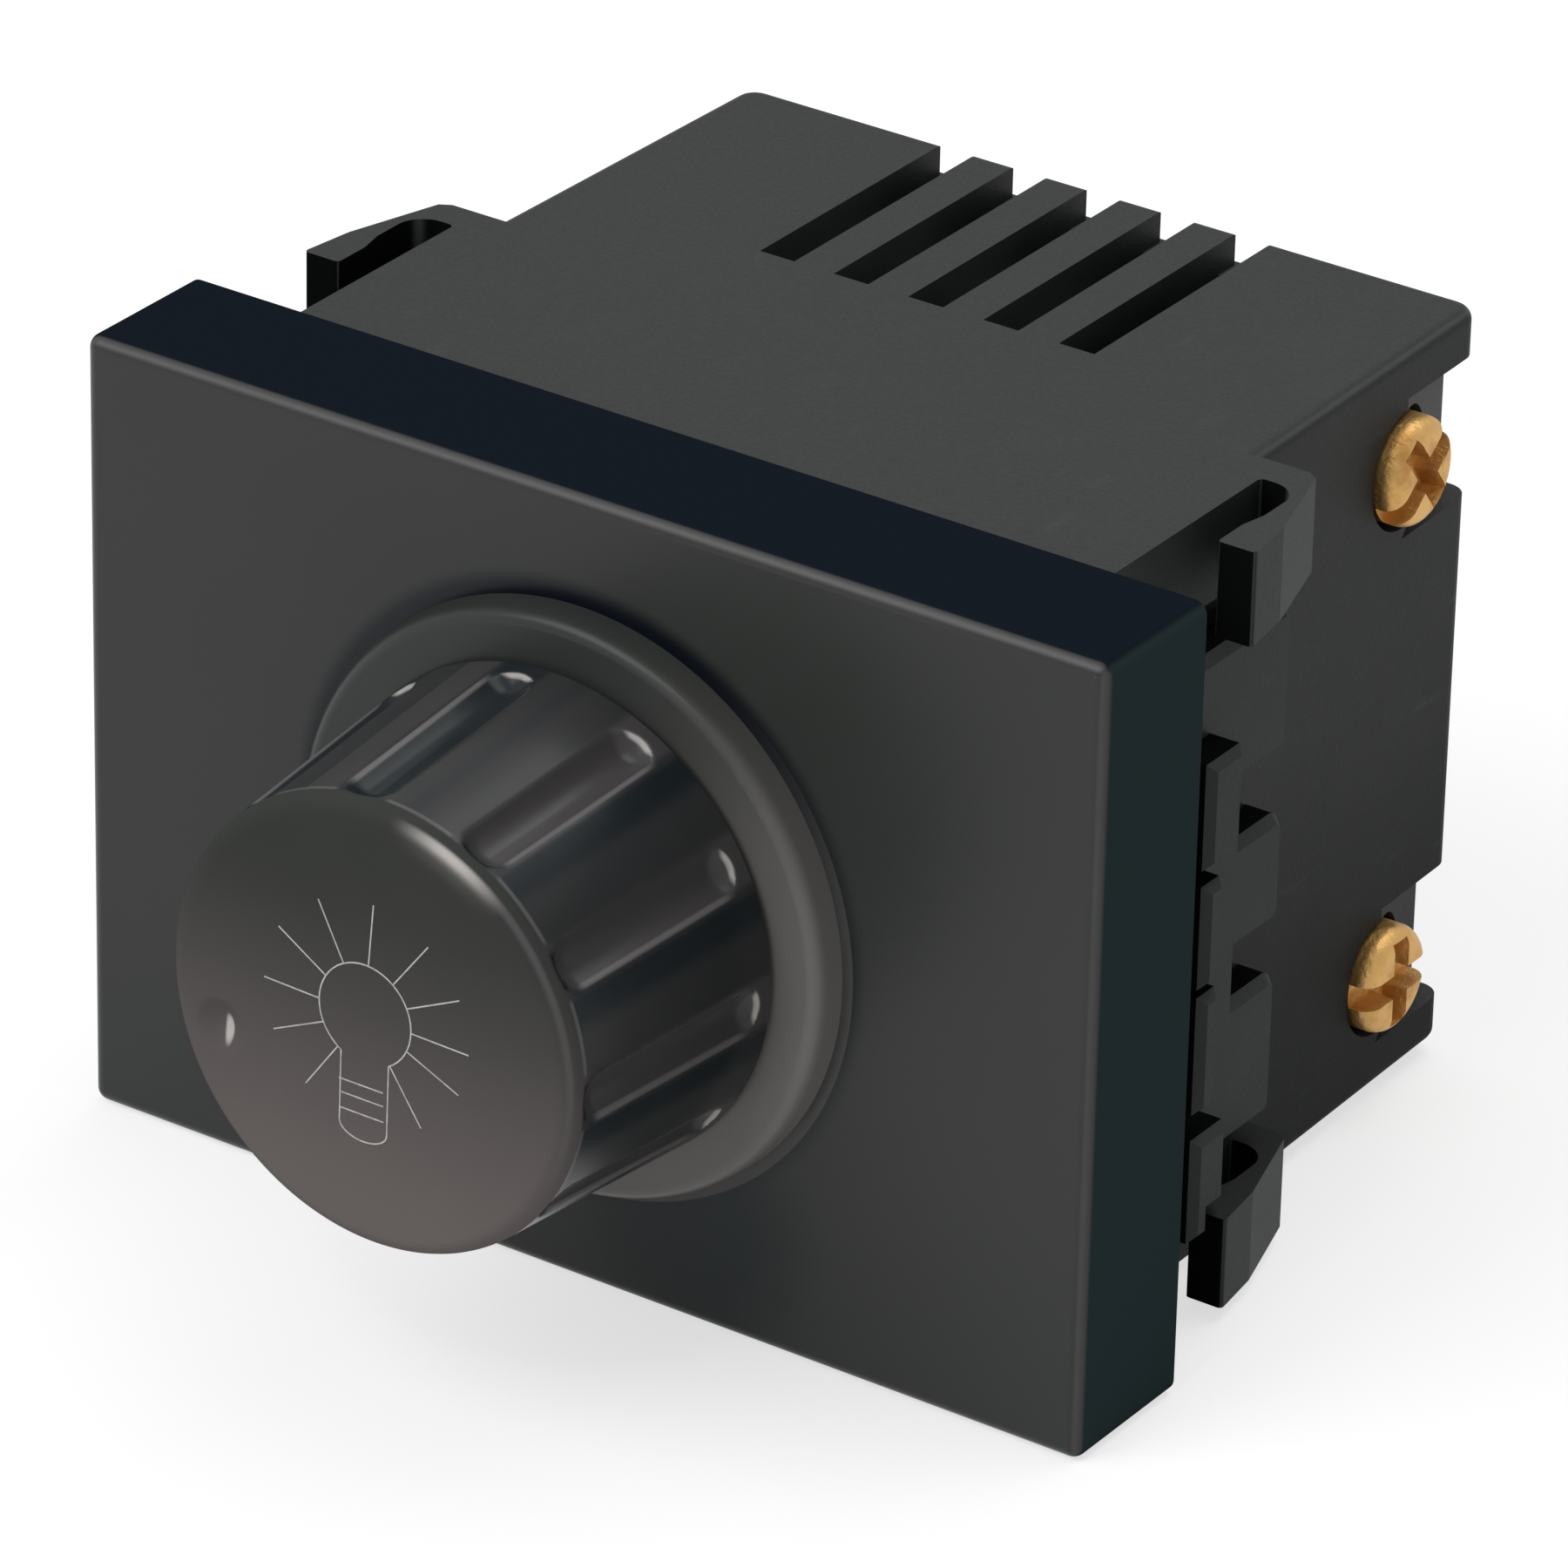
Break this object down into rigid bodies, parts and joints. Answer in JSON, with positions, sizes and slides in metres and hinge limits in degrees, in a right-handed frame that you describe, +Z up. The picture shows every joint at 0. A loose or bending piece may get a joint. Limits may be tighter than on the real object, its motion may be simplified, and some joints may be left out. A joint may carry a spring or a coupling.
{
  "type": "rotary dimmer switch",
  "caption": "Wall-frame module with a fluted knob that turns a potentiometer and dims a lamp, snap claws at the sides and screw terminals at the back.",
  "frame": {"origin": "on the knob's axis, in the back plane of the front plate", "axes": "+Z up, +X to the right seen from the front, +Y backwards into the wall"},
  "size_m": [0.0488, 0.0514, 0.035],
  "materials": {
    "front_plate": "polished black moulding",
    "knob": "satin black moulding with a thin grey printed icon",
    "housing": "fine matt black moulding",
    "terminal_screw_upper": "plain brass",
    "terminal_screw_lower": "plain brass",
    "pot_bushing": "die-cast metal",
    "pot_nut": "nickel-plated steel",
    "pot_washer": "plain steel",
    "pot_shaft": "white moulded plastic",
    "pot_wiper": "spring bronze",
    "pot_cover": "tinned sheet steel",
    "pot_wafer": "phenolic paper board",
    "pot_lugs": "tinned sheet",
    "circuit_board": "paper laminate",
    "board_screws": "zinc-plated steel",
    "triac_body": "moulded epoxy",
    "triac_leadframe": "tinned copper",
    "triac_rivet": "aluminium rivet",
    "heat_sink": "bent aluminium sheet",
    "choke_core": "coated powder core",
    "choke_winding": "enamelled copper wire",
    "filter_capacitor": "moulded box",
    "timing_capacitor": "moulded box",
    "diac": "painted glass bead with tinned leads",
    "timing_resistor": "lacquered body with tinned leads",
    "snubber_resistor": "lacquered body with tinned leads",
    "fuse_tube": "clear glass",
    "fuse_caps": "nickel-plated caps on one fine wire",
    "fuse_clips": "tinned spring sheet",
    "terminal_upper": "plain brass",
    "terminal_lower": "plain brass"
  },
  "bodies": {
    "module": {"front_plate": "front_plate", "housing": "housing", "pot_bushing": "pot_bushing", "pot_nut": "pot_nut", "pot_washer": "pot_washer", "pot_cover": "pot_cover", "pot_wafer": "pot_wafer", "pot_lugs": "pot_lugs", "circuit_board": "circuit_board", "board_screws": "board_screws", "triac_body": "triac_body", "triac_leadframe": "triac_leadframe", "triac_rivet": "triac_rivet", "heat_sink": "heat_sink", "choke_core": "choke_core", "choke_winding": "choke_winding", "filter_capacitor": "filter_capacitor", "timing_capacitor": "timing_capacitor", "diac": "diac", "timing_resistor": "timing_resistor", "snubber_resistor": "snubber_resistor", "fuse_tube": "fuse_tube", "fuse_caps": "fuse_caps", "fuse_clips": "fuse_clips", "terminal_upper": "terminal_upper", "terminal_lower": "terminal_lower"},
    "knob": {"knob": "knob", "pot_shaft": "pot_shaft", "pot_wiper": "pot_wiper"},
    "upper_screw": {"terminal_screw_upper": "terminal_screw_upper"},
    "lower_screw": {"terminal_screw_lower": "terminal_screw_lower"}
  },
  "joints": [
    {"name": "knob_turn", "type": "hinge", "parent": "module", "child": "knob", "pos_m": [0, 0, 0], "axis": [0, 1, 0], "range_deg": [-28.5, 241.5]},
    {"name": "upper_screw_in", "type": "slide", "parent": "module", "child": "upper_screw", "axis": [-1, 0, 0], "range_m": [0, 0.0018]},
    {"name": "lower_screw_in", "type": "slide", "parent": "module", "child": "lower_screw", "axis": [-1, 0, 0], "range_m": [0, 0.0018]}
  ]
}
